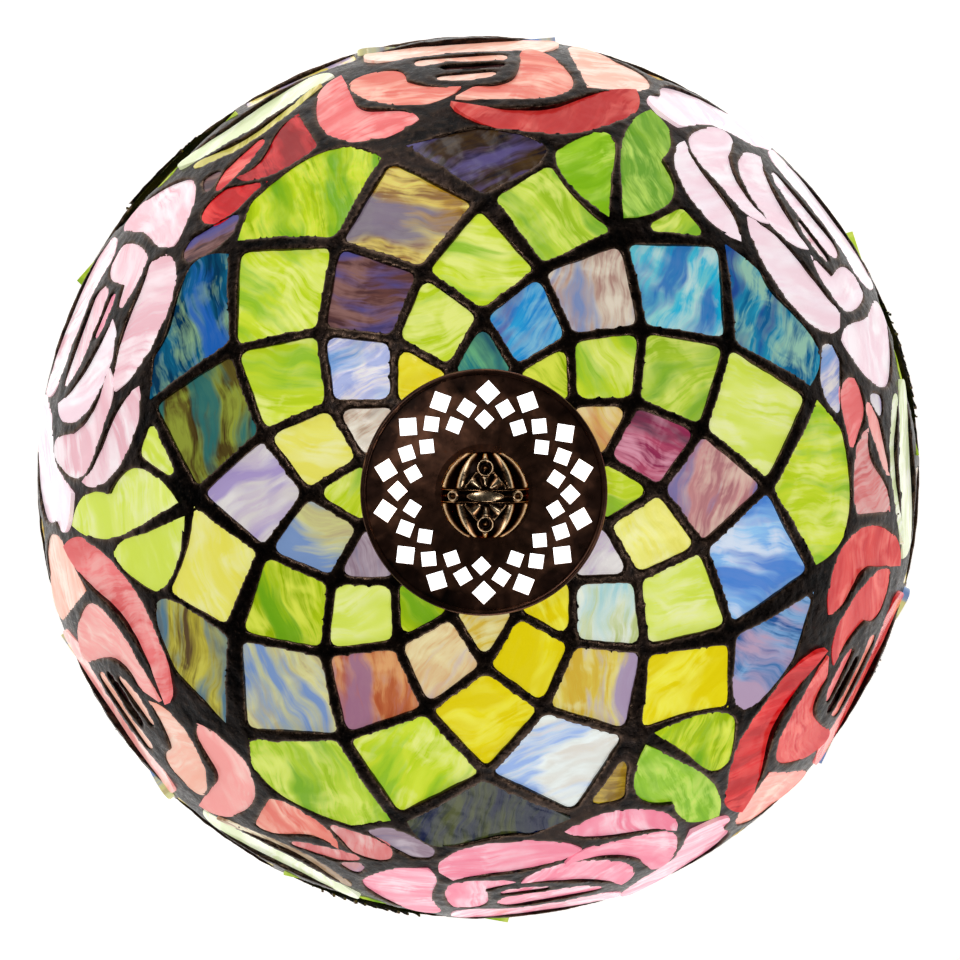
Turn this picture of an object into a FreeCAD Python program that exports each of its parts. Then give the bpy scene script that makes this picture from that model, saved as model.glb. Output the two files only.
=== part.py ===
import FreeCAD
import Part
import Sketcher
import math
import os
import re

# A table lamp with a leaded glass shade, in millimetres, +Z up. The origin is at the centre of the
# underside of the foot. +X points along the two lampholder arms, and bearings are counted
# anticlockwise from +X, seen from above.

Vector = FreeCAD.Vector
Z_AXIS = Vector(0, 0, 1)

# ---------------------------------------------------------------- driving dimensions
DIMENSIONS = {
    # shade: a half-ellipse dome of flat glass panes held in solder seams
    "rim_radius": 155.0,
    "dome_rise": 135.0,
    "rim_level": 290.0,
    "aperture_radius": 35.0,
    "glass_thickness": 2.6,
    "seam_width": 4.2,
    "seam_outside": 2.3,
    "seam_inside": 2.1,
    "band_height": 3.0,
    # vented heat cap and finial
    "cap_radius": 38.0,
    "cap_edge_level": 423.8,
    "cap_rise": 3.9,
    "cap_sheet": 1.0,
    "finial_radius": 13.7,
    "finial_neck": 5.2,
    "washer_thickness": 0.8,
    # pipe that holds the lamp together
    "pipe_radius": 4.8,
    "pipe_bore": 3.2,
    "pipe_clearance": 0.3,
    "riser_top": 440.0,
    # foot and stem
    "foot_radius": 82.0,
    "foot_height": 34.0,
    "foot_wall": 3.0,
    "felt_thickness": 1.5,
    "ballast_radius": 46.0,
    "ballast_top": 17.1,
    "stem_split": 140.0,
    "knop_height": 20.0,
    "knop_radius": 17.0,
    "cluster_base": 288.0,
    "cluster_radius": 17.0,
    "cluster_height": 28.0,
    # lampholders and lamps; distances along the arm are from its root
    "arm_root_x": 16.0,
    "arm_root_z": 303.0,
    "arm_tilt": 50.0,
    "arm_radius": 5.0,
    "holder_radius": 15.0,
    "holder_start": 14.0,
    "holder_split": 28.0,
    "holder_end": 58.0,
    "lamp_cap_radius": 6.9,
    "screw_clearance": 0.08,
    "bulb_radius": 22.5,
    "bulb_center": 83.5,
    "bulb_wall": 0.8,
    # pull chains
    "chain_x": 50.0,
    "bell_mouth": 303.0,
    "bead_radius": 1.6,
    "bead_pitch": 4.2,
    "chain_end": 190.0,
}

doc = FreeCAD.newDocument("leaded_glass_table_lamp")
sheet = doc.addObject("Spreadsheet::Sheet", "Sizes")
for row, (alias, number) in enumerate(DIMENSIONS.items(), start=1):
    sheet.set(f"A{row}", alias)
    sheet.set(f"B{row}", str(number))
    sheet.setAlias(f"B{row}", alias)
doc.recompute()

nodes = []
TERM = re.compile(r"([+-]?)\s*(?:([\d.]+)\s*\*\s*)?([A-Za-z_]\w*|[\d.]+)")


def size(text):
    """The value of a sum of numbers and dimension names, such as 'foot_radius - 2 * foot_wall'."""
    total = 0.0
    for sign, factor, term in TERM.findall(str(text)):
        amount = float(getattr(sheet, term)) if term in DIMENSIONS else float(term)
        total += (-1 if sign == "-" else 1) * float(factor or 1) * amount
    return total


def formula(text):
    """The same sum as an expression that reads the sheet."""
    return re.sub(r"[A-Za-z_]\w*", lambda name: "Sizes." + name.group(0), str(text))


def keep(item, label):
    """Names a finished sub-part; each kept item becomes one file."""
    item.Label = label
    nodes.append(item)
    return item


def origin_plane(body, role):
    return next(item for item in body.Origin.OriginFeatures if item.Role == role)


# ---------------------------------------------------------------- turned pieces
def bound(sketch, constraint, text):
    """Adds a constraint and ties it to the sheet when its size names a dimension."""
    number = sketch.addConstraint(constraint)
    if re.search("[A-Za-z]", str(text)):
        sketch.setExpression(f"Constraints[{number}]", formula(text))


def arc_through(start, middle, end):
    """An anticlockwise arc, and whether it had to be turned round to run that way."""
    circle = Part.Circle(start, middle, end)
    reverse = (middle - start).cross(end - middle).z < 0
    first, last = (end, start) if reverse else (start, end)
    low, high = [math.atan2(point.y - circle.Center.y, point.x - circle.Center.x) for point in (first, last)]
    if high < low:
        high += 2 * math.pi
    return Part.ArcOfCircle(Part.Circle(circle.Center, Z_AXIS, circle.Radius), low, high), reverse


def turned(name, section):
    """A body turned about Z. A section point is (radius, height) for a straight run to the next
    point, or (radius, height, radius, height) for an arc to the next point through the second pair."""
    body = doc.addObject("PartDesign::Body", name)
    sketch = body.newObject("Sketcher::SketchObject", name + "_section")
    sketch.AttachmentSupport = (origin_plane(body, "XZ_Plane"), [""])
    sketch.MapMode = "FlatFace"
    corners = [Vector(size(point[0]), size(point[1]), 0) for point in section]
    edge_ends = []
    for index, point in enumerate(section):
        start, end = corners[index], corners[(index + 1) % len(corners)]
        reverse = False
        if len(point) == 4:
            edge, reverse = arc_through(start, Vector(size(point[2]), size(point[3]), 0), end)
            sketch.addGeometry(edge, False)
            sketch.addConstraint(Sketcher.Constraint("Radius", index, edge.Radius))
        else:
            sketch.addGeometry(Part.LineSegment(start, end), False)
        edge_ends.append((2, 1) if reverse else (1, 2))
    for index, point in enumerate(section):
        before = (index - 1) % len(section)
        first, last = edge_ends[index][0], edge_ends[before][1]
        sketch.addConstraint(Sketcher.Constraint("Coincident", before, last, index, first))
        for kind, text in (("DistanceX", point[0]), ("DistanceY", point[1])):
            bound(sketch, Sketcher.Constraint(kind, -1, 1, index, first, size(text)), text)
    revolution = body.newObject("PartDesign::Revolution", name + "_turned")
    revolution.Profile = sketch
    revolution.ReferenceAxis = (sketch, ["V_Axis"])
    revolution.Angle = 360
    return body


def ring(name, inner, outer, low, high):
    """A plain tube or washer."""
    return turned(name, [(inner, low), (outer, low), (outer, high), (inner, high)])


def cut(name, base, tool):
    item = doc.addObject("Part::Cut", name)
    item.Base = base
    item.Tool = tool
    return item


def on_arm(item):
    """Lays a piece that was turned about Z along the +X arm, its zero height at the arm's root."""
    item.Placement = FreeCAD.Placement(Vector(size("arm_root_x"), 0, size("arm_root_z")),
                                       FreeCAD.Rotation(Vector(0, 1, 0), size("arm_tilt")))
    item.setExpression("Placement.Base.x", formula("arm_root_x"))
    item.setExpression("Placement.Base.z", formula("arm_root_z"))
    item.setExpression("Placement.Rotation.Angle", formula("arm_tilt"))
    return item


def opposite(name, item):
    """The same piece on the -X arm."""
    mirror = doc.addObject("Part::Mirroring", name)
    mirror.Source = item
    mirror.Base = Vector(0, 0, 0)
    mirror.Normal = Vector(1, 0, 0)
    return mirror


def keep_pair(item, label):
    """Two fixed pieces, one on each arm, kept as one node."""
    pair = doc.addObject("Part::Compound", label)
    pair.Links = [item, opposite(label + "_opposite", item)]
    return keep(pair, label)


def keep_left_and_right(item, label):
    """Two moving pieces, one on each arm, kept as a node each."""
    keep(opposite(label + "_left", item), label + "_left")
    keep(item, label + "_right")


# ---------------------------------------------------------------- foot and stem
def make_foot():
    keep(ring("foot_felt", 0, "foot_radius - 2", 0, "felt_thickness"), "foot_felt")
    hub = "ballast_top"
    casting = turned("foot_casting_blank", [
        ("foot_radius - foot_wall", "felt_thickness"), ("foot_radius", "felt_thickness"),
        ("foot_radius", 5, "foot_radius - 1.5", 9), ("foot_radius - 6", 11, 66, 13.8),
        (58, 19.5), (50, 22), (30, 25.5, 21, 28), (17, "foot_height"),
        ("pipe_radius", "foot_height"), ("pipe_radius", hub), ("ballast_radius + 2", hub),
        (57, 15), (66, 10.5), ("foot_radius - 8", 8), ("foot_radius - foot_wall", 5)])
    gland = doc.addObject("Part::Cylinder", "gland_hole")
    gland.Radius = 4.5
    gland.Height = 20
    gland.Placement = FreeCAD.Placement(Vector(0, 90, 6.6), FreeCAD.Rotation(Vector(1, 0, 0), 90))
    keep(cut("foot_casting_drilled", casting, gland), "foot_casting")
    keep(ring("foot_ballast", "pipe_radius", "ballast_radius", 9.1, hub), "foot_ballast")
    keep(ring("foot_washer", "pipe_radius", 11, 7.6, 9.1), "foot_washer")
    nut = doc.addObject("Part::Prism", "foot_nut_blank")
    nut.Polygon = 6
    nut.Circumradius = 8.6
    nut.Height = 5
    nut.Placement.Base = Vector(0, 0, 2.6)
    thread = doc.addObject("Part::Cylinder", "foot_nut_thread")
    thread.setExpression("Radius", formula("pipe_radius"))
    thread.Height = 10
    keep(cut("foot_nut", nut, thread), "foot_nut")


def make_cord_inlet():
    """A rubber grommet in the back of the foot, with an open bore for the supply cord."""
    grommet = turned("grommet", [(2.6, 0), (4.5, 0), (4.5, 6), (6.2, 6), (6.2, 8, 5.6, 9), (4, 9.4), (2.6, 9.4)])
    grommet.Placement = FreeCAD.Placement(Vector(0, 76, 6.6), FreeCAD.Rotation(Vector(1, 0, 0), -90))
    keep(grommet, "cord_inlet_grommet")


def make_stem():
    keep(ring("pipe", "pipe_bore", "pipe_radius", 2.2, "cluster_base + 6"), "threaded_pipe")
    bore = "pipe_radius"
    foot_top, split, base = "foot_height", "stem_split", "cluster_base"
    knop_top = "stem_split + knop_height"
    keep(turned("stem_lower", [
        (bore, foot_top), (14, foot_top, 15.2, "foot_height + 2.5"), (14, "foot_height + 5"),
        (10.5, "foot_height + 8", 12, "foot_height + 20"), (17, "foot_height + 34", 19.2, "foot_height + 46"),
        (16, "foot_height + 60", 10, "foot_height + 80"), (9, "stem_split - 8"),
        (12.5, "stem_split - 5"), (12.5, split), (bore, split)]), "stem_lower")
    keep(turned("stem_knop", [
        (bore, split), (9, split, "knop_radius", "stem_split + 0.5 * knop_height"), (9, knop_top),
        (bore, knop_top)]), "stem_knop")
    keep(turned("stem_upper", [
        (bore, knop_top), (12.5, knop_top), (12.5, "stem_split + knop_height + 5"),
        (9, "stem_split + knop_height + 8", 11.5, "cluster_base - 70"), (7.5, "cluster_base - 16"),
        (13, "cluster_base - 6", 14.5, "cluster_base - 3"), (14, base), (bore, base)]), "stem_upper")


# ---------------------------------------------------------------- lampholder cluster
def make_cluster():
    wall = "cluster_radius - 2"
    top = "cluster_base + cluster_height"
    body = turned("cluster_blank", [
        ("pipe_radius", "cluster_base"), ("cluster_radius", "cluster_base"), ("cluster_radius", top),
        (wall, top), (wall, "cluster_base + 2.5"), ("pipe_radius", "cluster_base + 2.5")])
    port = on_arm(turned("arm_port", [(0, -12), ("arm_radius", -12), ("arm_radius", 12), (0, 12)]))
    ports = doc.addObject("Part::Fuse", "arm_ports")
    ports.Base = port
    ports.Tool = opposite("arm_port_opposite", port)
    keep(cut("cluster_body", body, ports), "cluster_body")
    keep(turned("cluster_cover", [
        ("pipe_radius", top), ("cluster_radius + 1", top), ("cluster_radius + 1", "cluster_base + cluster_height + 2",
         13, "cluster_base + cluster_height + 6"), (8, "cluster_base + cluster_height + 8"),
        ("pipe_radius", "cluster_base + cluster_height + 8")]), "cluster_cover")
    keep(ring("riser", "pipe_bore", "pipe_radius", "cluster_base + cluster_height - 8", "riser_top"), "riser_pipe")
    keep_pair(on_arm(ring("arm", "arm_radius - 1.5", "arm_radius", -2, "holder_start + 3")), "lampholder_arms")


def make_lampholders():
    start, split, end = "holder_start", "holder_split", "holder_end"
    cap = on_arm(turned("holder_cap", [
        ("arm_radius", start), (8, start), ("holder_radius", "holder_start + 9"), ("holder_radius", split),
        ("holder_radius - 1.2", split), ("holder_radius - 1.2", "holder_start + 9.5"),
        (7.4, "holder_start + 3"), ("arm_radius", "holder_start + 3")]))
    keep_pair(cap, "lampholder_caps")
    keep_pair(on_arm(turned("holder_shell", [
        ("holder_radius - 1", split), ("holder_radius", split), ("holder_radius", "holder_end - 2"),
        ("holder_radius + 1.4", "holder_end - 0.5"), ("holder_radius + 1.4", "holder_end"),
        ("holder_radius", end), ("holder_radius - 1", "holder_end - 1.5")])), "lampholder_shells")
    keep_pair(on_arm(ring("holder_liner", "holder_radius - 1.8", "holder_radius - 1", "holder_split + 0.5",
                          "holder_end - 1.5")), "lampholder_liners")
    keep_pair(on_arm(ring("holder_switch", 0, "holder_radius - 1.8", "holder_start + 11", "holder_split + 11")),
              "lampholder_switch_blocks")
    keep_pair(on_arm(ring("holder_screw", "lamp_cap_radius + screw_clearance", "lamp_cap_radius + 0.7",
                          "holder_split + 11", "holder_end - 2")), "lampholder_screw_shells")
    keep_pair(on_arm(ring("holder_contact", 0, 2.8, "holder_split + 11", "holder_split + 13.5")),
              "lampholder_contacts")


def bulb_form(name, inset):
    """A ball on a short neck, along Z, smaller all round by the inset."""
    ball = doc.addObject("Part::Sphere", name + "_ball")
    ball.setExpression("Radius", formula("bulb_radius - ") + inset)
    ball.setExpression("Placement.Base.z", formula("bulb_center"))
    neck = doc.addObject("Part::Cylinder", name + "_neck")
    neck.setExpression("Radius", "8 - " + inset)
    neck.setExpression("Height", formula("bulb_center - holder_end"))
    neck.setExpression("Placement.Base.z", formula("holder_end - 1"))
    form = doc.addObject("Part::Fuse", name)
    form.Base = ball
    form.Tool = neck
    return form


def make_bulbs():
    root = "holder_split + 14"
    glass = cut("bulb_glass", bulb_form("bulb_outside", "0"), bulb_form("bulb_inside", formula("bulb_wall")))
    keep_left_and_right(on_arm(glass), "bulb_glass")
    keep_left_and_right(on_arm(turned("bulb_cap", [
        (0, root), (3, root), (3, "holder_split + 14.6"), ("lamp_cap_radius", "holder_split + 17"),
        ("lamp_cap_radius", "holder_end - 1.9"), (8.4, "holder_end - 1"), (0, "holder_end - 1")])), "bulb_cap")
    keep_left_and_right(on_arm(turned("bulb_stem", [
        (0, "holder_end - 1"), (4.5, "holder_end - 1"), (3, "holder_end + 8"), (1.6, "bulb_center - 4"),
        (1.6, "bulb_center + 10"), (0, "bulb_center + 10")])), "bulb_stem")


# ---------------------------------------------------------------- pull chains
def make_pull_chains():
    mouth = "bell_mouth"
    column = Vector(size("chain_x"), 0, 0)
    bell = turned("bell", [
        (3.0, mouth), (5.0, mouth), (5.0, "bell_mouth + 0.8", 3.6, "bell_mouth + 4"), (3.2, "bell_mouth + 12"),
        (0, "bell_mouth + 12"), (0, "bell_mouth + 11"), (2.1, "bell_mouth + 11"), (2.1, "bell_mouth + 4")])
    bell.Placement.Base = column
    bell.setExpression("Placement.Base.x", formula("chain_x"))
    envelope = on_arm(turned("holder_envelope", [
        (0, "holder_start"), ("holder_radius", "holder_start"), ("holder_radius", "holder_end"), (0, "holder_end")]))
    keep_pair(cut("chain_bell", bell, envelope), "chain_bells")

    bead, pitch = size("bead_radius"), size("bead_pitch")
    link = Part.makeSphere(bead, column + Z_AXIS * (size(mouth) + 6))
    make_free_form("chain_link", link, "chain_link")

    top = size(mouth) + 6 - pitch
    count = int((top - size("chain_end")) // pitch)
    wire = Part.makeCylinder(0.5, count * pitch, column + Z_AXIS * (top - count * pitch))
    beads = [Part.makeSphere(bead, column + Z_AXIS * (top - pitch * index)) for index in range(count)]
    knob_center = column + Z_AXIS * (top - count * pitch)
    knob = Part.makeSphere(4.5, knob_center)
    pivot = Part.makeCylinder(0.6, 2 * bead + 0.6, column + Vector(0, -bead - 0.3, top), Vector(0, 1, 0))
    make_free_form("pull_chain", wire.multiFuse(beads + [knob, pivot]), "pull_chain")


def make_free_form(name, shape, label):
    piece = doc.addObject("Part::Feature", name)
    piece.Shape = shape
    keep_left_and_right(piece, label)


# ---------------------------------------------------------------- heat cap, spider and finial
def make_spider():
    """Soldered into the aperture of the shade: a ring, three spokes and a hub that drops on the riser."""
    bore = "pipe_radius + pipe_clearance"
    rim = ring("spider_ring", "aperture_radius - 1.2", "aperture_radius", 419.4, 422.6)
    hub = ring("spider_hub", bore, 9, 420.3, 422.8)
    spokes = []
    for index in range(3):
        spoke = doc.addObject("Part::Box", f"spider_spoke_{index}")
        spoke.Length = 26
        spoke.Width = 3
        spoke.Height = 1.5
        turn = FreeCAD.Rotation(Z_AXIS, 120 * index)
        spoke.Placement = FreeCAD.Placement(turn.multVec(Vector(8.3, -1.5, 420.6)), turn)
        spokes.append(spoke)
    spider = doc.addObject("Part::MultiFuse", "spider")
    spider.Shapes = [rim, hub] + spokes
    keep(spider, "shade_spider")
    keep(turned("check_ring", [
        ("pipe_radius", 416), (7, 416), (12, 418.5), (12, 420), ("pipe_radius", 420)]), "check_ring")


def vent(radius, bearing, side):
    """A square vent with one diagonal along the radius of the cap."""
    half = side / 2
    square = doc.addObject("Part::Box", "vent")
    square.Length = square.Width = side
    square.Height = 12
    turn = FreeCAD.Rotation(Z_AXIS, bearing + 45)
    middle = FreeCAD.Rotation(Z_AXIS, bearing).multVec(Vector(radius, 0, size("cap_edge_level") - 4))
    square.Placement = FreeCAD.Placement(middle - turn.multVec(Vector(half, half, 0)), turn)
    return square


def make_heat_cap():
    """A spun cap with seven groups of six square vents."""
    edge, crown = "cap_edge_level", "cap_edge_level + cap_rise"
    plate = turned("cap_plate", [
        ("pipe_radius + pipe_clearance", crown), (15, crown), ("cap_radius - 2.5", "cap_edge_level + 0.6"),
        ("cap_radius - 0.8", edge), ("cap_radius", edge), ("cap_radius", "cap_edge_level + 2",
         "cap_radius - 1", "cap_edge_level + 2.8"), ("cap_radius - 2", "cap_edge_level + 2.2"),
        (15, "cap_edge_level + cap_rise + cap_sheet"),
        ("pipe_radius + pipe_clearance", "cap_edge_level + cap_rise + cap_sheet")])
    groups = 7
    pitch = 360 / groups
    vents = []
    for group in range(groups):
        bearing = 24.5 + pitch * group
        for side_step in (-1, 1):
            vents.append(vent(30.8, bearing + 11.7 * side_step, 5.2))
            vents.append(vent(22.5, bearing + pitch / 2 + 12 * side_step, 4.2))
        vents.append(vent(26.5, bearing, 4.4))
        vents.append(vent(26.5, bearing + pitch / 2, 4.4))
    punches = doc.addObject("Part::Compound", "cap_vents")
    punches.Links = vents
    keep(cut("heat_cap", plate, punches), "heat_cap")


def make_finial():
    seat = "cap_edge_level + cap_rise + cap_sheet"
    base = seat + " + washer_thickness"
    keep(ring("finial_washer", "pipe_radius + pipe_clearance", 9, seat, base), "finial_washer")
    bore, neck, ball = "pipe_radius + 1.6", size("finial_neck"), size("finial_radius")
    bottom = size(base)
    middle = bottom + 4 + math.sqrt(ball ** 2 - (neck + 3) ** 2)
    keep(turned("finial", [
        (bore, base), (9.5, base), (9.5, base + " + 1.5", 8.6, base + " + 3"), (neck + 3, base + " + 4",
         ball, middle), (0, middle + ball), (0, "riser_top + 1.6"), (bore, "riser_top + 1.6")]), "finial")
    keep(ring("finial_bush", "pipe_radius + screw_clearance", bore, base, "riser_top + 1.6"), "finial_bush")


# ---------------------------------------------------------------- leaded glass
def polar_angle(girth):
    """The dome's polar angle at a girth: the distance in mm down the dome from ten degrees off its top."""
    across, up = size("rim_radius"), size("dome_rise")
    polar, step = math.radians(10), math.radians(0.1)
    while girth > 0:
        run = math.hypot(across * math.cos(polar), up * math.sin(polar)) * step
        if run > girth:
            return polar + step * girth / run
        polar += step
        girth -= run
    return polar


def dome_point(bearing, girth):
    polar = polar_angle(girth)
    flat = Vector(size("rim_radius") * math.sin(polar), 0, size("rim_level") + size("dome_rise") * math.cos(polar))
    return FreeCAD.Rotation(Z_AXIS, bearing).multVec(flat)


def middle_of(points):
    return sum(points, Vector(0, 0, 0)) / len(points)


def facing(points):
    """The outward normal of the flat pane that fits these points best."""
    total = Vector(0, 0, 0)
    for point, following in zip(points, points[1:] + points[:1]):
        total += point.cross(following)
    center = middle_of(points)
    area = total.normalize()
    outwards = center - Vector(0, 0, size("rim_level"))
    return area if area.dot(outwards) > 0 else area * -1


def flattened(points, center, normal):
    return [point - normal * (point - center).dot(normal) for point in points]


def curved_wire(sides, bearing):
    """The edge of a pane with curved sides, on the plane of the pane."""
    runs = [[dome_point(bearing + angle, girth) for angle, girth in side] for side in sides]
    every = [point for run in runs for point in run]
    center, normal = middle_of(every), facing(every)
    runs = [flattened(run, center, normal) for run in runs]
    edges = []
    for run, following in zip(runs, runs[1:] + runs[:1]):
        points = run + following[:1]
        if len(points) == 2:
            edges.append(Part.LineSegment(points[0], points[1]).toShape())
        else:
            spline = Part.BSplineCurve()
            spline.interpolate(points)
            edges.append(spline.toShape())
    return Part.Wire(edges), normal


def lattice_wire(crossings, bearing):
    """The edge of a straight-sided pane: half a seam inside the seams that join the crossings."""
    corners = [dome_point(bearing + angle, girth) for angle, girth in crossings]
    center, normal = middle_of(corners), facing(corners)
    corners = flattened(corners, center, normal)
    if (corners[1] - corners[0]).cross(corners[2] - corners[1]).dot(normal) < 0:
        corners.reverse()
    inset = size("seam_width") / 2
    moved = []
    for before, corner, after in zip(corners[-1:] + corners[:-1], corners, corners[1:] + corners[:1]):
        arriving = normal.cross((corner - before).normalize())
        leaving = normal.cross((after - corner).normalize())
        moved.append(corner + (arriving + leaving) * (inset / (1 + arriving.dot(leaving))))
    return Part.makePolygon(moved + moved[:1]), normal


def slab(wire, normal, thickness):
    outline = wire.copy()
    outline.translate(normal * (-thickness / 2))
    return Part.Face(outline).extrude(normal * thickness)


# Seam crossings of the diamond lattice, as (bearing, girth). They repeat every 30 degrees.
CROSSING_STEP = 30
COLLAR_CROSSING = (15.3, 11.8)
UPPER_CROSSING = (0.5, 28)
MIDDLE_CROSSING = (15.5, 45.3)
LOWER_CROSSING = (0.7, 67)
LAST_CROSSING = (15.7, 91)


def crossing(place, steps):
    return place[0] + CROSSING_STEP * steps, place[1]


LATTICE = {
    "collar_triangles": [(-10.5, 7.5), (11.3, 7.5), COLLAR_CROSSING, UPPER_CROSSING, crossing(COLLAR_CROSSING, -1)],
    "upper_diamonds": [COLLAR_CROSSING, crossing(UPPER_CROSSING, 1), MIDDLE_CROSSING, UPPER_CROSSING],
    "middle_diamonds": [UPPER_CROSSING, MIDDLE_CROSSING, LOWER_CROSSING, crossing(MIDDLE_CROSSING, -1)],
    "lower_diamonds": [MIDDLE_CROSSING, crossing(LOWER_CROSSING, 1), LAST_CROSSING, LOWER_CROSSING],
    "rim_border": [(0, 184.6), (15, 184.6), (15, 198.8), (0, 198.8)],
}
LATTICE_STEP = {"rim_border": 15}
# The lower diamond beside each pair of leaves gives way to a curved pane.
MISSING = {"lower_diamonds": (2, 6, 10)}

# Curved panes of the pattern, which repeats three times round the shade. A pane is a list of sides,
# each from its corner to just short of the next, as (bearing, girth) points joined by a smooth curve.
REPEATS = 3
CURVED = {
    "leaf_side_diamonds": [
        [[(75.3, 48.8)], [(87.1, 69)], [(78.3, 84.3), (74, 76.3)], [(64.2, 67.7)]]],
    "last_diamonds": [
        [[(-12.3, 92)], [(0, 70)], [(13.9, 93)], [(9.0, 102.0), (4, 103.8), (-5.3, 104)]]],
    "over_rose_diamonds": [
        [[(30, 70.5)], [(44.3, 91)], [(38, 95.8), (30, 97), (24, 101)], [(18, 92)]],
        [[(90, 71.5)], [(101.8, 93.7)], [(91, 98.5), (80, 92)]]],
    "filler_wedges": [
        [[(11.5, 102.5)], [(15.0, 97.6)], [(18, 99)], [(22.5, 105)], [(22.0, 109.0)], [(19.5, 110.6)]],
        [[(58.2, 75)], [(54.3, 91.5)], [(49, 88.5)]]],
    "upper_leaves": [
        [[(62.3, 76), (66.0, 93), (67.6, 111)], [(65.5, 128), (62.8, 124)], [(61.6, 107), (57.3, 96)]],
        [[(65.8, 73.4), (71.6, 77.4), (77.2, 89.6)], [(77.3, 92), (70.2, 106)], [(68, 90)]]],
    "pink_outer_petals": [
        [[(44.8, 109), (36, 116.4), (30, 118.4)], [(26.0, 121.2)],
         [(24.2, 117), (24.8, 108), (29, 101.5), (35, 99.5), (40.5, 102)]],
        [[(44.2, 98.3), (50, 96), (56, 101.5), (59.4, 112)], [(59.4, 120.6), (54.4, 111.8), (48.6, 106.2)]],
        [[(21.8, 117), (23.0, 122), (23.0, 140), (24, 158)],
         [(20.5, 158.5), (15.5, 147), (13.7, 138), (15.5, 126), (20, 118)]]],
    "pink_inner_petals": [
        [[(43.0, 114.8), (46.2, 111.4), (51.6, 113.6), (58.0, 121.4), (58.8, 128), (55.4, 145)],
         [(53.3, 133), (50.4, 122.6)]],
        [[(36.3, 124.5), (40, 118), (44.5, 118.3), (50.3, 128.6), (51.2, 140)],
         [(49.5, 146.5), (46.5, 137), (42.2, 130)]],
        [[(34.3, 124.5)], [(30.3, 130), (29.0, 147.3)],
         [(26.3, 147), (25.4, 138)], [(25.8, 126), (29.2, 123.0)]]],
    "pink_heart_petals": [
        [[(32.2, 134.2), (34, 130.8), (38, 131.0)], [(42, 134.0)]],
        [[(33.5, 137.2), (38, 136.2), (43, 137.5)], [(46.8, 146.8)], [(34.3, 147.4), (32.6, 142)]]],
    "pink_skirt_petals": [
        [[(30, 150.6), (40, 151.2), (47.9, 158)], [(48.0, 170)],
         [(44, 177), (36, 179), (30, 175), (26.6, 163), (27, 155)]],
        [[(61.5, 129), (66, 135)], [(64.8, 147), (64.8, 160)], [(62, 170), (56.5, 178), (51.3, 179)],
         [(51.4, 155)], [(57.5, 146)]]],
    "red_outer_petals": [
        [[(68.6, 137), (67.9, 126), (70.5, 114), (76, 102.5), (82, 99.3), (92, 104.5)],
         [(94.3, 110.0), (86, 109.4), (79, 115.0), (74.6, 126)]],
        [[(100.3, 106), (105, 101.8), (110, 104), (113.4, 114), (113.4, 131), (112.2, 139)],
         [(109.2, 145)], [(108.6, 128), (106.3, 117), (101.8, 111.3)]],
        [[(-4.0, 109.8), (0, 107.6), (4.5, 109.2)], [(8.0, 116.9), (2.2, 121), (-0.4, 128)], [(-3.4, 131)]]],
    "red_inner_petals": [
        [[(93.3, 114.8)], [(90.5, 122.0), (86, 126.5), (84.6, 134), (83.6, 153)],
         [(80.5, 149), (78.2, 140), (77.3, 129), (80, 120), (84.5, 116)]],
        [[(93.5, 120.5), (98.5, 114.8), (103, 118), (107, 128), (107.8, 138)],
         [(105, 141.5), (101.6, 139.5)], [(100.8, 131), (98.2, 125)]]],
    "red_heart_petals": [
        [[(87.2, 133.0), (90, 128.2), (94, 127.2)], [(97.0, 130.2)]],
        [[(85.8, 139.8), (87, 137.2), (93, 134.8)], [(98.4, 137.0)]],
        [[(86.6, 143.2)], [(98.6, 141.4)], [(98.7, 146.0)], [(86.8, 148.2)]]],
    "red_skirt_petals": [
        [[(81.8, 156.4), (87, 152.8), (98, 150.2), (104.5, 154)], [(104.8, 163)],
         [(98, 170.5), (90, 173), (80.6, 172)]],
        [[(74.8, 131.6), (76.6, 146), (77.2, 174)], [(72, 169), (67.9, 160), (67.3, 147)], [(69.0, 140.5)]]],
    "red_buds": [
        [[(5.7, 106.6), (11, 105.7), (15.6, 109), (16, 114.5), (13, 117.6)], [(10.5, 116.5)]],
        [[(1.7, 130.0), (4.5, 124.0), (11.8, 119.8)], [(9.0, 126.5)]]],
    "lower_leaves": [
        [[(-7.8, 144.5), (-4, 139), (1, 133.6), (6, 133.8), (11.8, 144)], [(8.0, 141), (3, 137.5), (-3.5, 141)]],
        [[(-9.8, 150.5), (-3.5, 144.5), (3, 141.2), (9, 146), (13.3, 152.5)], [(8, 158), (0, 160.5), (-8, 159)]]],
    "ground_panes": [
        [[(9.5, 128.6)], [(13.2, 122.5)], [(12.3, 131.5)]],
        [[(-13.4, 164)], [(1.6, 165)], [(1.6, 183)], [(-13.4, 183)]],
        [[(3.6, 165), (10.5, 161.5), (15.3, 157)], [(19.0, 163), (23.6, 164)], [(25.6, 172)],
         [(29.5, 179.5)], [(33.5, 183)], [(3.6, 183)]],
        [[(59.5, 183)], [(64.2, 173)], [(66.2, 166.5)], [(70.0, 172.3)], [(77.4, 178.2)], [(77.4, 183)]],
        [[(80.4, 176.2)], [(90, 177.2), (99, 174.5), (104.8, 168)], [(104.8, 183)], [(80.4, 183)]]],
}


# The leading's patches, as lowest level, highest level and how many go round the dome.
LEADING_PATCHES = [(293, 328, 18), (328, 362, 18), (362, 392, 18), (392, 412, 12), (412, 428, 12)]
CRUMB = 2.0


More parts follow.
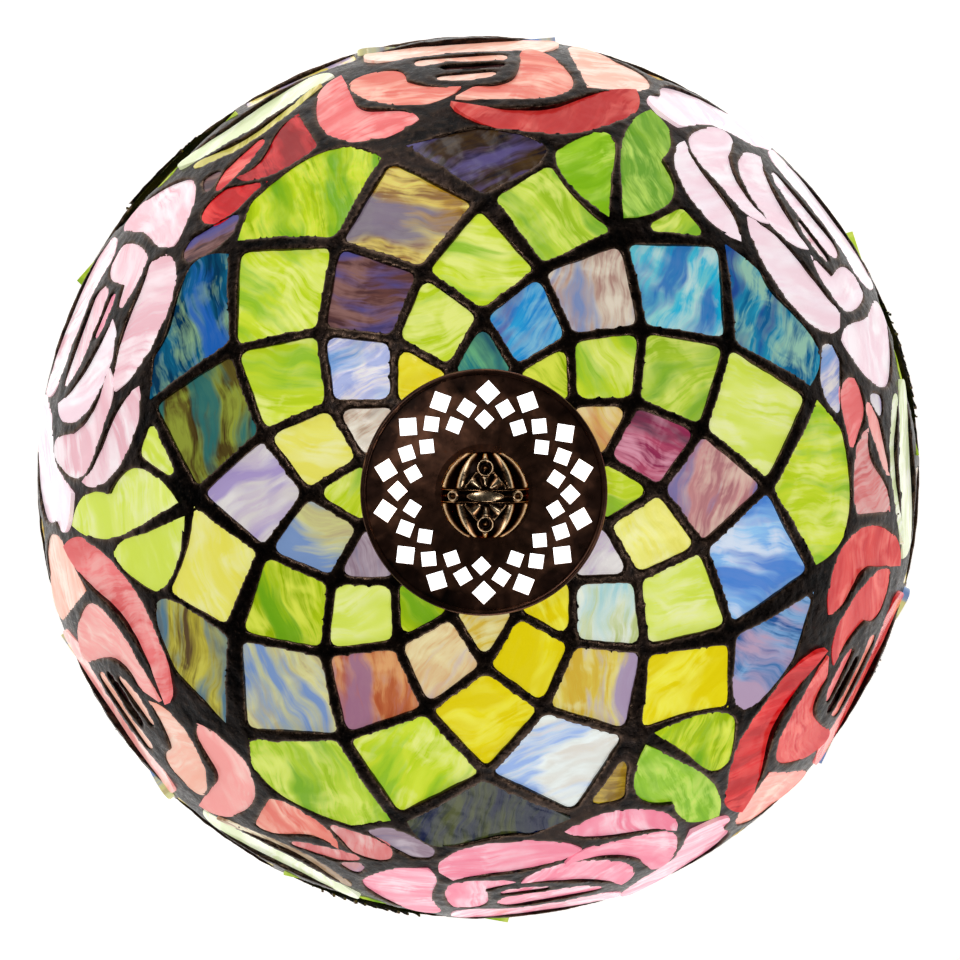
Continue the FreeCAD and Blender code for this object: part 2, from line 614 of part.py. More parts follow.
def make_shade():
    """Every pane is a flat slab, and the leading is the dome's shell with a slot for every pane."""
    thickness, depth = size("glass_thickness"), 12.0
    slots = []

    def keep_panes(label, wires):
        piece = doc.addObject("Part::Feature", label)
        piece.Shape = Part.makeCompound([slab(wire, normal, thickness) for wire, normal in wires])
        slots.extend(slab(wire, normal, depth) for wire, normal in wires)
        keep(piece, label)

    for label, crossings in LATTICE.items():
        step = LATTICE_STEP.get(label, CROSSING_STEP)
        steps = [index for index in range(360 // step) if index not in MISSING.get(label, ())]
        keep_panes(label, [lattice_wire(crossings, step * index) for index in steps])
    for label, panes in CURVED.items():
        bearings = [360 / REPEATS * index for index in range(REPEATS)]
        keep_panes(label, [curved_wire(sides, bearing) for bearing in bearings for sides in panes])

    leading = doc.addObject("Part::Feature", "leading")
    leading.Shape = leading_between(slots)
    keep(leading, "shade_leading")
    keep(turned("rim_band", [
        ("rim_radius - seam_inside - 0.6", "rim_level"), ("rim_radius + seam_outside + 0.6", "rim_level"),
        ("rim_radius + seam_outside + 0.6", "rim_level + band_height"),
        ("rim_radius - seam_inside - 0.6", "rim_level + band_height")]), "shade_rim_band")


def leading_between(slots):
    """The seams left between the slots, in patches small enough to lie flat against the dome."""
    shell = dome_shell()
    seams = []
    for lowest, highest, count in LEADING_PATCHES:
        wedge = Part.makeCylinder(200, highest - lowest, Vector(0, 0, lowest), Z_AXIS, 360 / count)
        patch = shell.common(wedge)
        for index in range(count // REPEATS):
            turned_patch = patch.rotated(Vector(0, 0, 0), Z_AXIS, 360 / count * index)
            near = [slot for slot in slots if slot.BoundBox.intersect(turned_patch.BoundBox)]
            seams.extend(solid for solid in turned_patch.cut(near).Solids if solid.Volume > CRUMB)
    turns = [360 / REPEATS * index for index in range(REPEATS)]
    return Part.makeCompound([seam.rotated(Vector(0, 0, 0), Z_AXIS, turn) for turn in turns for seam in seams])


def dome_shell():
    """The full thickness of the solder seams, from the rim band up to the aperture."""
    def quarter(offset):
        ellipse = Part.Ellipse(Vector(0, 0, size("rim_level")), size("rim_radius") + offset,
                               size("dome_rise") + offset)
        ellipse.transform(FreeCAD.Placement(Vector(), FreeCAD.Rotation(Vector(1, 0, 0), 90),
                                            Vector(0, 0, size("rim_level"))).toMatrix())
        return ellipse.toShape(0, math.pi / 2)

    outer, inner = quarter(size("seam_outside")), quarter(-size("seam_inside"))
    low = size("rim_level")
    edges = [outer, inner,
             Part.LineSegment(outer.Vertexes[0].Point, inner.Vertexes[0].Point).toShape(),
             Part.LineSegment(outer.Vertexes[-1].Point, inner.Vertexes[-1].Point).toShape()]
    section = Part.Face(Part.Wire(Part.__sortEdges__(edges)))
    shell = section.revolve(Vector(0, 0, 0), Z_AXIS, 360)
    rim = Part.makeCylinder(200, size("band_height"), Vector(0, 0, low))
    aperture = Part.makeCylinder(size("aperture_radius"), 500)
    return shell.cut([rim, aperture])


# ---------------------------------------------------------------- build and write
def check_document():
    doc.recompute()
    failed = [item.Name for item in doc.Objects if {"Invalid", "Error"} & set(item.State)]
    if failed:
        raise RuntimeError("failed: " + ", ".join(failed))
    for item in nodes:
        if item.Shape.isNull() or not item.Shape.isValid():
            raise RuntimeError("bad shape: " + item.Label)


make_foot()
make_cord_inlet()
make_stem()
make_cluster()
make_lampholders()
make_bulbs()
make_pull_chains()
make_spider()
make_heat_cap()
make_finial()
make_shade()
check_document()

os.makedirs("parts", exist_ok=True)
for item in nodes:
    item.Shape.exportStep(os.path.join("parts", item.Label + ".step"))
    print(item.Label, len(item.Shape.Solids), round(item.Shape.Volume))
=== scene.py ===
import math

import bmesh
import bpy
from mathutils import Matrix, Vector, noise
from mathutils.geometry import delaunay_2d_cdt


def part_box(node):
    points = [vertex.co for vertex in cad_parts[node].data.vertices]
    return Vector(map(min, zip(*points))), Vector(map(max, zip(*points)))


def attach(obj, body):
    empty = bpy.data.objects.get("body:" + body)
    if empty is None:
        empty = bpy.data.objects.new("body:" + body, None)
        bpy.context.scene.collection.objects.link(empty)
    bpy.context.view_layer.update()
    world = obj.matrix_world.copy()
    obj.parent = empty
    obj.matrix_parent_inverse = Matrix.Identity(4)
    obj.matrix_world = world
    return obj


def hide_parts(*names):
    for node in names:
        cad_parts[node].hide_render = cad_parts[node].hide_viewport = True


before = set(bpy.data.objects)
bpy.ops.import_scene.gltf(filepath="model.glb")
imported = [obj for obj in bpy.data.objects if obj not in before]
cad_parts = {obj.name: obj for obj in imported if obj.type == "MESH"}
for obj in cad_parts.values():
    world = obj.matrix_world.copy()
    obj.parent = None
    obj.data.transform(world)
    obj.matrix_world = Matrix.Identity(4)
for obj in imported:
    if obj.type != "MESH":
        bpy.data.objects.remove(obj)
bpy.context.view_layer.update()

MM = 0.001
RIM_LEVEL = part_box("shade_rim_band")[0].z
TURN = 2 * math.pi
SAME_POINT = 2e-6


# ---------------------------------------------------------------- shader helpers
def linear(value):
    return value / 12.92 if value <= 0.04045 else ((value + 0.055) / 1.055) ** 2.4


def colour(red, green, blue):
    """A colour given as the eye sees it, 0 to 1 a channel."""
    return (linear(red), linear(green), linear(blue), 1.0)


class Shader:
    """A material being wired up, with short calls for the nodes that are used often."""

    def __init__(self, name):
        self.material = bpy.data.materials.new(name)
        self.material.use_nodes = True
        self.tree = self.material.node_tree
        self.tree.nodes.clear()
        self.output = self.node("ShaderNodeOutputMaterial")

    def set(self, socket, value):
        if isinstance(value, bpy.types.NodeSocket):
            self.tree.links.new(value, socket)
        else:
            socket.default_value = value

    def node(self, kind, inputs=(), **settings):
        made = self.tree.nodes.new(kind)
        for key, value in settings.items():
            setattr(made, key, value)
        for key, value in dict(inputs).items():
            self.set(made.inputs[key], value)
        return made

    def noise(self, vector, scale, detail=3.0, roughness=0.5, distortion=0.0):
        made = self.node("ShaderNodeTexNoise", {"Vector": vector, "Scale": scale, "Detail": detail,
                                                "Roughness": roughness, "Distortion": distortion})
        return made.outputs["Fac"]

    def ramp(self, factor, *stops):
        made = self.node("ShaderNodeValToRGB", {"Fac": factor})
        elements = made.color_ramp.elements
        while len(elements) < len(stops):
            elements.new(0.5)
        for element, (position, value) in zip(elements, stops):
            element.position = position
            element.color = value if isinstance(value, tuple) else (value, value, value, 1)
        return made.outputs["Color"]

    def mix(self, factor, first, second):
        made = self.node("ShaderNodeMix", data_type="RGBA")
        for socket, value in ((made.inputs[0], factor), (made.inputs[6], first), (made.inputs[7], second)):
            self.set(socket, value)
        return made.outputs[2]

    def math(self, operation, first, second=0.0):
        return self.node("ShaderNodeMath", {0: first, 1: second}, operation=operation).outputs[0]

    def mapped(self, vector, scale):
        return self.node("ShaderNodeMapping", {"Vector": vector, "Scale": scale}).outputs[0]

    def bump(self, height, strength, distance):
        return self.node("ShaderNodeBump", {"Height": height, "Strength": strength,
                                            "Distance": distance}).outputs[0]

    def place(self):
        return self.node("ShaderNodeTexCoord").outputs["Object"]

    def edges(self):
        """Light on worn edges and dark in hollows."""
        return self.node("ShaderNodeNewGeometry").outputs["Pointiness"]

    def principled(self, **inputs):
        named = {key.replace("_", " ").title().replace("Ior", "IOR"): value for key, value in inputs.items()}
        surface = self.node("ShaderNodeBsdfPrincipled", named)
        self.tree.links.new(surface.outputs[0], self.output.inputs["Surface"])
        return self.material


# ---------------------------------------------------------------- glass
TINT_KEYS = ("tint_a", "tint_b", "tint_c", "tint_d")

# Each sheet of glass as its deep, middle and pale tint, and where it is mixed, the colour of its streaks.
SHEETS = {
    "lime": (colour(0.74, 0.84, 0.14), colour(0.84, 0.91, 0.26), colour(0.92, 0.95, 0.52),
             colour(0.56, 0.76, 0.16)),
    "deep_lime": (colour(0.60, 0.72, 0.05), colour(0.75, 0.84, 0.12), colour(0.88, 0.92, 0.32),
                  colour(0.42, 0.66, 0.10)),
    "leaf_lime": (colour(0.62, 0.76, 0.16), colour(0.76, 0.86, 0.28), colour(0.88, 0.93, 0.46),
                  colour(0.46, 0.68, 0.18)),
    "lemon": (colour(0.90, 0.82, 0.04), colour(0.95, 0.90, 0.14), colour(0.97, 0.95, 0.34)),
    "pale_lemon": (colour(0.93, 0.90, 0.36), colour(0.95, 0.94, 0.48), colour(0.96, 0.95, 0.64)),
    "pale_lime": (colour(0.84, 0.91, 0.32), colour(0.92, 0.96, 0.52), colour(0.95, 0.97, 0.68)),
    "frost_lime": (colour(0.75, 0.80, 0.52), colour(0.92, 0.95, 0.86), colour(0.95, 0.97, 0.93),
                   colour(0.62, 0.82, 0.84)),
    "amber": (colour(0.86, 0.72, 0.36), colour(0.92, 0.80, 0.48), colour(0.96, 0.90, 0.70),
              colour(0.80, 0.50, 0.26)),
    "honey": (colour(0.84, 0.70, 0.24), colour(0.89, 0.81, 0.36), colour(0.92, 0.88, 0.62),
              colour(0.66, 0.58, 0.74)),
    "peach": (colour(0.86, 0.68, 0.46), colour(0.93, 0.84, 0.65), colour(0.95, 0.89, 0.68),
              colour(0.72, 0.62, 0.74)),
    "sand": (colour(0.74, 0.68, 0.52), colour(0.84, 0.84, 0.55), colour(0.90, 0.88, 0.62),
             colour(0.42, 0.56, 0.80)),
    "umber": (colour(0.26, 0.17, 0.20), colour(0.44, 0.28, 0.25), colour(0.55, 0.40, 0.38),
              colour(0.30, 0.30, 0.56)),
    "rust": (colour(0.70, 0.34, 0.20), colour(0.80, 0.48, 0.30), colour(0.90, 0.66, 0.44),
             colour(0.62, 0.44, 0.56)),
    "dusty_rose": (colour(0.70, 0.46, 0.48), colour(0.81, 0.57, 0.57), colour(0.90, 0.76, 0.70),
                   colour(0.46, 0.44, 0.66)),
    "mauve_cream": (colour(0.68, 0.52, 0.48), colour(0.80, 0.72, 0.64), colour(0.89, 0.84, 0.76),
                    colour(0.44, 0.54, 0.74)),
    "crimson_pink": (colour(0.58, 0.18, 0.33), colour(0.76, 0.34, 0.45), colour(0.88, 0.60, 0.68),
                     colour(0.36, 0.20, 0.28)),
    "ginger": (colour(0.52, 0.35, 0.10), colour(0.77, 0.60, 0.14), colour(0.88, 0.80, 0.38),
               colour(0.42, 0.38, 0.50)),
    "moss": (colour(0.26, 0.20, 0.09), colour(0.38, 0.34, 0.14), colour(0.56, 0.60, 0.22),
             colour(0.14, 0.42, 0.42)),
    "teal": (colour(0.14, 0.48, 0.50), colour(0.30, 0.58, 0.50), colour(0.42, 0.70, 0.50),
             colour(0.10, 0.30, 0.40)),
    "cobalt": (colour(0.12, 0.50, 0.80), colour(0.20, 0.65, 0.86), colour(0.50, 0.74, 0.86),
               colour(0.38, 0.30, 0.60)),
    "aqua": (colour(0.10, 0.70, 0.85), colour(0.50, 0.80, 0.80), colour(0.74, 0.87, 0.86),
             colour(0.10, 0.42, 0.72)),
    "sky": (colour(0.48, 0.68, 0.93), colour(0.60, 0.80, 0.97), colour(0.86, 0.91, 0.98),
            colour(0.26, 0.50, 0.84)),
    "sea": (colour(0.05, 0.36, 0.54), colour(0.16, 0.60, 0.73), colour(0.58, 0.76, 0.68),
            colour(0.10, 0.22, 0.56)),
    "deep_sea": (colour(0.02, 0.20, 0.32), colour(0.08, 0.42, 0.56), colour(0.52, 0.66, 0.50),
                 colour(0.12, 0.36, 0.70)),
    "midnight": (colour(0.01, 0.03, 0.17), colour(0.02, 0.07, 0.23), colour(0.10, 0.14, 0.18),
                 colour(0.30, 0.32, 0.12)),
    "sapphire": (colour(0.14, 0.34, 0.60), colour(0.38, 0.56, 0.76), colour(0.50, 0.67, 0.84),
                 colour(0.74, 0.62, 0.72)),
    "night_brown": (colour(0.10, 0.08, 0.12), colour(0.19, 0.13, 0.10), colour(0.28, 0.20, 0.10),
                    colour(0.34, 0.30, 0.50)),
    "olive": (colour(0.36, 0.28, 0.18), colour(0.68, 0.63, 0.22), colour(0.79, 0.76, 0.32),
              colour(0.24, 0.44, 0.58)),
    "lilac": (colour(0.52, 0.58, 0.80), colour(0.77, 0.76, 0.87), colour(0.89, 0.86, 0.84),
              colour(0.32, 0.56, 0.82)),
    "grey_lilac": (colour(0.56, 0.46, 0.52), colour(0.62, 0.54, 0.60), colour(0.74, 0.68, 0.72),
                   colour(0.40, 0.36, 0.50)),
    "rose_white": (colour(0.79, 0.73, 0.82), colour(0.86, 0.83, 0.82), colour(0.91, 0.89, 0.88),
                   colour(0.66, 0.58, 0.80)),
    "milk": (colour(0.86, 0.84, 0.80), colour(0.89, 0.92, 0.90), colour(0.92, 0.95, 0.94),
             colour(0.52, 0.66, 0.90)),
    "milk_brown": (colour(0.62, 0.46, 0.34), colour(0.90, 0.84, 0.76), colour(0.96, 0.93, 0.86),
                   colour(0.46, 0.32, 0.28)),
    "green": (colour(0.40, 0.62, 0.12), colour(0.56, 0.73, 0.20), colour(0.72, 0.85, 0.36)),
    "bright_green": (colour(0.48, 0.70, 0.08), colour(0.62, 0.80, 0.18), colour(0.80, 0.90, 0.40)),
    "blush": (colour(0.97, 0.84, 0.88), colour(0.99, 0.93, 0.96), colour(1.00, 0.97, 0.98)),
    "shell_pink": (colour(0.93, 0.72, 0.76), colour(1.00, 0.90, 0.92), colour(1.00, 0.96, 0.97)),
    "rose_pink": (colour(0.94, 0.50, 0.60), colour(0.98, 0.66, 0.73), colour(0.99, 0.80, 0.84)),
    "red": (colour(0.72, 0.12, 0.12), colour(0.82, 0.24, 0.22), colour(0.88, 0.40, 0.36)),
    "bright_red": (colour(0.72, 0.02, 0.06), colour(0.88, 0.08, 0.10), colour(0.96, 0.30, 0.28)),
    "dark_red": (colour(0.56, 0.06, 0.08), colour(0.75, 0.10, 0.12), colour(0.84, 0.24, 0.24)),
    "coral": (colour(0.90, 0.40, 0.40), colour(0.98, 0.50, 0.50), colour(0.98, 0.66, 0.64)),
    "salmon": (colour(0.88, 0.42, 0.36), colour(0.95, 0.60, 0.52), colour(0.98, 0.74, 0.66)),
    "pale_coral": (colour(0.96, 0.60, 0.58), colour(0.99, 0.70, 0.67), colour(0.99, 0.80, 0.76)),
    "shell_coral": (colour(0.95, 0.66, 0.56), colour(0.98, 0.78, 0.70), colour(0.99, 0.86, 0.79)),
    "warm_red": (colour(0.80, 0.14, 0.16), colour(0.90, 0.30, 0.28), colour(0.97, 0.46, 0.42)),
    "wine": (colour(0.09, 0.01, 0.02), colour(0.20, 0.10, 0.10), colour(0.30, 0.16, 0.16),
             colour(0.02, 0.01, 0.02)),
    "faded_rose": (colour(0.80, 0.38, 0.38), colour(0.90, 0.54, 0.53), colour(0.90, 0.72, 0.70)),
    "leaf_cream": (colour(0.82, 0.86, 0.66), colour(0.93, 0.95, 0.85), colour(0.98, 0.98, 0.91)),
    "leaf_gold": (colour(0.74, 0.70, 0.32), colour(0.84, 0.80, 0.44), colour(0.92, 0.86, 0.58)),
    "leaf_tan": (colour(0.60, 0.48, 0.36), colour(0.74, 0.62, 0.52), colour(0.92, 0.86, 0.74)),
    "ochre": (colour(0.50, 0.38, 0.02), colour(0.62, 0.47, 0.06), colour(0.76, 0.64, 0.20)),
}

# The sheets of each set of panes, in order of bearing from the first one, or from the top down in a heart.
PANES = {
    "collar_triangles": ("lime_glass", "lime amber deep_lime teal lemon milk_brown lime grey_lilac "
                         "deep_lime honey lemon rose_white"),
    "upper_diamonds": ("lime_glass", "crimson_pink lime cobalt lime lilac pale_lemon sand pale_lime peach "
                       "lemon frost_lime pale_lemon"),
    "middle_diamonds": ("lime_glass", "dusty_rose leaf_lime mauve_cream lime umber lime rose_white deep_lime "
                        "rust lemon honey pale_lime"),
    "lower_diamonds": ("mixed_glass", "pale_lime aqua ginger lime moss sand lime milk sky"),
    "leaf_side_diamonds": ("lime_glass", "leaf_lime pale_lemon lemon"),
    "last_diamonds": ("lime_glass", "lime deep_lime leaf_lime"),
    "over_rose_diamonds": ("blue_glass", "sea night_brown deep_sea olive midnight sapphire"),
    "filler_wedges": ("mixed_glass", "lilac leaf_lime umber pale_lime grey_lilac ochre"),
    "upper_leaves": ("green_glass", "green bright_green pale_lime pale_lime bright_green deep_lime"),
    "pink_outer_petals": ("pink_glass", "blush blush blush shell_pink shell_pink shell_pink rose_pink "
                          "rose_pink rose_pink"),
    "pink_inner_petals": ("pink_glass", "blush blush blush shell_pink blush shell_pink rose_pink rose_pink "
                          "rose_pink"),
    "pink_heart_petals": ("pink_glass", "shell_pink blush rose_pink shell_pink rose_pink rose_pink"),
    "pink_skirt_petals": ("pink_glass", "blush blush shell_pink blush rose_pink rose_pink"),
    "red_outer_petals": ("red_glass", "faded_rose red coral dark_red coral pale_coral salmon bright_red "
                         "warm_red"),
    "red_inner_petals": ("red_glass", "salmon salmon pale_coral shell_coral warm_red warm_red"),
    "red_heart_petals": ("red_glass", "shell_coral wine shell_coral shell_coral wine shell_coral coral wine "
                         "salmon"),
    "red_skirt_petals": ("red_glass", "shell_coral shell_coral shell_coral pale_coral salmon warm_red"),
    "red_buds": ("red_glass", "coral pale_coral bright_red warm_red faded_rose faded_rose"),
    "lower_leaves": ("green_glass", "leaf_cream leaf_cream leaf_gold leaf_cream leaf_tan leaf_cream"),
    "ground_panes": ("amber_glass", "rose_white leaf_lime amber sand honey umber leaf_lime amber sand honey "
                     "dusty_rose leaf_lime amber sand honey"),
    "rim_border": ("amber_glass", "amber honey lime peach " * 6),
}
# Nodes whose panes are listed sector by sector from the top down, and where the first sector starts.
FROM_THE_TOP = {"pink_heart_petals", "red_heart_petals", "red_buds", "lower_leaves"}
SECTORS = 3
SECTOR_START = -5
# Millimetres: the glass, how far its edge runs in under the solder, and the spacing of its mesh.
PANE_THICKNESS = 2.6
UNDER_SOLDER = 1.3
PANE_GRID = 3.0
# How strongly the panes glow in their own colour: painted light standing in for the bulbs' light shining
# through the glass.
PAINTED_BACKLIGHT_GLOW = 0.62


def glass_material(name):
    """Streaky opalescent sheet: each pane brings its four tints and its own streak direction. The sheet's
    colour also glows, a painted backlight standing in for the bulbs' light shining through.
    """
    s = Shader(name)
    place = s.node("ShaderNodeAttribute", attribute_name="pane_place").outputs["Vector"]
    tints = [s.node("ShaderNodeAttribute", attribute_name=key).outputs["Color"] for key in TINT_KEYS]
    drift = s.node("ShaderNodeTexNoise", {"Vector": place, "Scale": 38.0, "Detail": 2.0}).outputs["Color"]
    bent = s.node("ShaderNodeVectorMath", {0: drift, 1: (0.5, 0.5, 0.5)}, operation="SUBTRACT").outputs[0]
    bent = s.node("ShaderNodeVectorMath", {0: bent, "Scale": 0.016}, operation="SCALE").outputs[0]
    warped = s.node("ShaderNodeVectorMath", {0: place, 1: bent}, operation="ADD").outputs[0]
    broad = s.noise(s.mapped(warped, (22, 120, 1)), 1.0, 2.0)
    fine = s.noise(s.mapped(warped, (60, 460, 1)), 1.0, 4.0, 0.62)
    cloud = s.noise(warped, 75.0, 3.0, 0.55, 0.6)
    streaks = s.math("ADD", s.math("MULTIPLY", broad, 0.60), s.math("MULTIPLY", fine, 0.40))
    body = s.mix(s.ramp(streaks, (0.40, 0.0), (0.57, 1.0)), tints[0], tints[1])
    wisps = s.math("ADD", s.math("MULTIPLY", fine, 0.45), s.math("MULTIPLY", cloud, 0.55))
    sheet = s.mix(s.ramp(wisps, (0.46, 0.0), (0.60, 1.0)), body, tints[2])
    flow = s.math("ADD", s.math("MULTIPLY", s.noise(s.mapped(warped, (18, 70, 1)), 1.0, 3.0, 0.55), 0.8),
                  s.math("MULTIPLY", fine, 0.2))
    sheet = s.mix(s.ramp(flow, (0.50, 0.0), (0.60, 0.9)), sheet, tints[3])
    ripple = s.math("ADD", s.noise(place, 95.0, 2.0), s.math("MULTIPLY", streaks, 0.4))
    # The sheet colour is also emitted: a painted glow for light shining through the glass from the bulbs.
    return s.principled(base_color=sheet, roughness=0.16, ior=1.52, specular_ior_level=0.22,
                        coat_weight=0.10, coat_roughness=0.06, emission_color=sheet,
                        emission_strength=PAINTED_BACKLIGHT_GLOW, normal=s.bump(ripple, 0.35, 0.0015))


def islands(bm):
    """The faces of each separate solid."""
    waiting = set(bm.faces)
    while waiting:
        group, edge_of_group = [], [waiting.pop()]
        while edge_of_group:
            face = edge_of_group.pop()
            group.append(face)
            for edge in face.edges:
                for beside in edge.link_faces:
                    if beside in waiting:
                        waiting.remove(beside)
                        edge_of_group.append(beside)
        yield group


def pane_outline(faces):
    """(corner points round the outer face, its outward normal) of one flat pane."""
    areas = {}
    for face in faces:
        key = tuple(round(part, 2) for part in face.normal)
        areas[key] = areas.get(key, 0) + face.calc_area()
    broad = [Vector(key).normalized() for key, area in areas.items() if area > 0.2 * max(areas.values())]
    corners = {vert for face in faces for vert in face.verts}

    def thickness_error(way):
        heights = [vert.co.dot(way) for vert in corners]
        return abs(max(heights) - min(heights) - PANE_THICKNESS * MM)

    normal = min(broad, key=thickness_error)
    middle = sum((face.calc_center_median() for face in faces), Vector()) / len(faces)
    if normal.dot(middle - Vector((0, 0, RIM_LEVEL))) < 0:
        normal = -normal
    front = {face for face in faces if face.normal.dot(normal) > 0.999}
    following = {}
    for face in front:
        for loop in face.loops:
            if not any(other in front for other in loop.edge.link_faces if other is not face):
                following[loop.vert] = loop.link_loop_next.vert
    start = vert = next(iter(following))
    outline = []
    while True:
        outline.append(vert.co.copy())
        vert = following[vert]
        if vert is start:
            return outline, normal


def grown(points, distance):
    """A closed anticlockwise outline, moved outwards."""
    out = []
    for before, point, after in zip(points[-1:] + points[:-1], points, points[1:] + points[:1]):
        first, second = (point - before).normalized(), (after - point).normalized()
        away = Vector((first.y, -first.x)) + Vector((second.y, -second.x))
        if away.length > 1e-6:
            away = away.normalized() / max(0.6, (1 + first.dot(second)) / 2) ** 0.5
        out.append(point + away * distance)
    return out


def inside(point, outline, margin):
    """Whether a point is inside an outline by at least a margin."""
    crossings = False
    for a, b in zip(outline, outline[1:] + outline[:1]):
        if (a.y > point.y) != (b.y > point.y):
            if point.x < a.x + (point.y - a.y) * (b.x - a.x) / (b.y - a.y):
                crossings = not crossings
        along = b - a
        share = max(0.0, min(1.0, (point - a).dot(along) / max(along.length_squared, 1e-9)))
        if (a + along * share - point).length < margin:
            return False
    return crossings


def pane_order(node, panes):
    """Panes as (outline, normal) in the order that PANES lists their sheets."""
    def key(pane):
        middle = sum(pane[0], Vector()) / len(pane[0])
        bearing = (math.degrees(math.atan2(middle.y, middle.x)) - SECTOR_START) % 360
        if node in FROM_THE_TOP:
            return bearing // (360 / SECTORS), -middle.z
        return 0, bearing
    return sorted(panes, key=key)


def make_panes(node, number):
    """All panes of one set as rippled slabs whose edges run in under the solder."""
    slot, sheets = PANES[node]
    source = bmesh.new()
    source.from_mesh(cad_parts[node].data)
    bmesh.ops.remove_doubles(source, verts=source.verts, dist=SAME_POINT)
    source.normal_update()
    panes = pane_order(node, [pane_outline(faces) for faces in islands(source)])
    bm = bmesh.new()
    layers = [bm.verts.layers.float_vector.new("pane_place")]
    layers += [bm.verts.layers.float_color.new(key) for key in TINT_KEYS]
    sheets = sheets.split()
    for index, (outline, normal) in enumerate(panes):
        middle = sum(outline, Vector()) / len(outline)
        across = Vector((0, 0, 1)).cross(normal).normalized()
        up = normal.cross(across)
        flat = [Vector(((p - middle).dot(across), (p - middle).dot(up))) / MM for p in outline]
        if sum(a.x * b.y - a.y * b.x for a, b in zip(flat, flat[1:] + flat[:1])) < 0:
            flat.reverse()
        flat = grown(flat, UNDER_SOLDER)
        low = [min(p[axis] for p in flat) for axis in (0, 1)]
        high = [max(p[axis] for p in flat) for axis in (0, 1)]
        grid = [Vector((low[0] + PANE_GRID * (i + 0.5 * (j % 2)), low[1] + PANE_GRID * j))
                for i in range(int((high[0] - low[0]) / PANE_GRID) + 1)
                for j in range(int((high[1] - low[1]) / PANE_GRID) + 1)]
        grid = [point for point in grid if inside(point, flat, 1.2)]
        edges = [(i, (i + 1) % len(flat)) for i in range(len(flat))]
        points, _, triangles = delaunay_2d_cdt(flat + grid, edges, [], 1, 1e-4)[:3]
        seed = number * 17.3 + index * 3.71
        streak = Matrix.Rotation(noise.noise(Vector((seed, 1.7, 0))) * 4.0, 2)
        tints = SHEETS[sheets[index % len(sheets)]]
        tints = (tints + tints[:1])[:len(TINT_KEYS)]
        layer_verts = []
        for depth in (0.0, -PANE_THICKNESS):
            made = []
            for point in points:
                spot = middle + (across * point.x + up * point.y) * MM
                wave = 0.14 * noise.noise(spot * 160) + 0.05 * noise.noise(spot * 480)
                vert = bm.verts.new(spot + normal * (depth + wave) * MM)
                turned = streak @ point
                vert[layers[0]] = (turned.x * MM, turned.y * MM, seed)
                for layer, tint in zip(layers[1:], tints):
                    vert[layer] = tint
                made.append(vert)
            layer_verts.append(made)
        top, bottom = layer_verts
        sides = {(a, b) for triangle in triangles for a, b in zip(triangle, triangle[1:] + triangle[:1])}
        for triangle in triangles:
            bm.faces.new([top[i] for i in triangle])
            bm.faces.new([bottom[i] for i in reversed(triangle)])
        for a, b in sorted(sides):
            if (b, a) not in sides:
                bm.faces.new((top[b], top[a], bottom[a], bottom[b]))
    source.free()
    bmesh.ops.recalc_face_normals(bm, faces=bm.faces)
    for face in bm.faces:
        face.smooth = True
    for edge in bm.edges:
        if len(edge.link_faces) == 2 and edge.calc_face_angle(0) > 0.7:
            edge.smooth = False
    return piece_from(bm, "panes_" + node, GLASS[slot], "shade", slot, node)


def piece_from(bm, name, material, body, slot, *nodes):
    """A new piece in the object's frame, which rides on a body and stands for these CAD nodes."""
    mesh = bpy.data.meshes.new(name)
    bm.to_mesh(mesh)
    bm.free()
    piece = bpy.data.objects.new(name, mesh)
    bpy.context.scene.collection.objects.link(piece)
    mesh.materials.append(material)
    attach(piece, body)
    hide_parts(*nodes)
    return piece


# ---------------------------------------------------------------- metals and the rest
def patina(name, deep, mid, worn, patches=60.0, rough=(0.32, 0.55), metal=0.85, lumps=0.25):
    """Chemically darkened metal: mottled in three tones, brighter where it is rubbed, its roughness set by a
    fine grain.
    """
    s = Shader(name)
    place = s.place()
    mottle = s.noise(place, patches, 4.0, 0.6, 0.4)
    grain = s.noise(place, patches * 9, 3.0, 0.6)
    tone = s.mix(s.ramp(mottle, (0.42, 0.0), (0.62, 1.0)), deep, mid)
    rubbed = s.math("ADD", s.ramp(s.edges(), (0.50, 0.0), (0.58, 0.8)),
                    s.math("MULTIPLY", s.ramp(grain, (0.60, 0.0), (0.74, 1.0)), 0.25))
    tone = s.mix(rubbed, tone, worn)
    roughness = s.ramp(grain, (0.35, rough[0]), (0.70, rough[1]))
    height = s.math("ADD", mottle, s.math("MULTIPLY", grain, 0.5))
    return s.principled(base_color=tone, metallic=metal, roughness=roughness,
                        normal=s.bump(height, lumps, 0.0006))


def finial_bronze(name):
    """Cast bronze: black patina in the hollows of its relief, rubbed bright along its ridges and lifted to
    near white there as a painted highlight.
    """
    s = Shader(name)
    height = s.node("ShaderNodeAttribute", attribute_name="relief").outputs["Fac"]
    grain = s.noise(s.place(), 900.0, 3.0, 0.6)
    raised = s.math("ADD", height, s.math("MULTIPLY", s.math("SUBTRACT", grain, 0.5), 0.35))
    # The dark low stops are patina in the hollows; the near-white top stop is a painted highlight along the
    # ridges, over rubbed bronze.
    tone = s.ramp(raised, (0.30, colour(0.085, 0.06, 0.05)), (0.52, colour(0.30, 0.19, 0.12)),
                  (0.72, colour(0.74, 0.55, 0.38)), (0.92, colour(0.98, 0.86, 0.70)))
    return s.principled(base_color=tone, metallic=1.0, roughness=s.ramp(grain, (0.35, 0.20), (0.70, 0.36)),
                        specular_tint=colour(0.55, 0.42, 0.32), normal=s.bump(grain, 0.10, 0.0002))


def bright_metal(name, base, dull, rough=0.28):
    """Plain plated or turned metal with faint tarnish and fine scratches."""
    s = Shader(name)
    place = s.place()
    tarnish = s.noise(place, 120.0, 4.0, 0.6)
    scratches = s.noise(s.mapped(place, (3000, 300, 300)), 1.0, 2.0)
    tone = s.mix(s.ramp(tarnish, (0.40, 0.0), (0.66, 1.0)), base, dull)
    roughness = s.ramp(scratches, (0.30, rough), (0.75, rough + 0.18))
    return s.principled(base_color=tone, metallic=1.0, roughness=roughness,
                        normal=s.bump(scratches, 0.08, 0.0002))


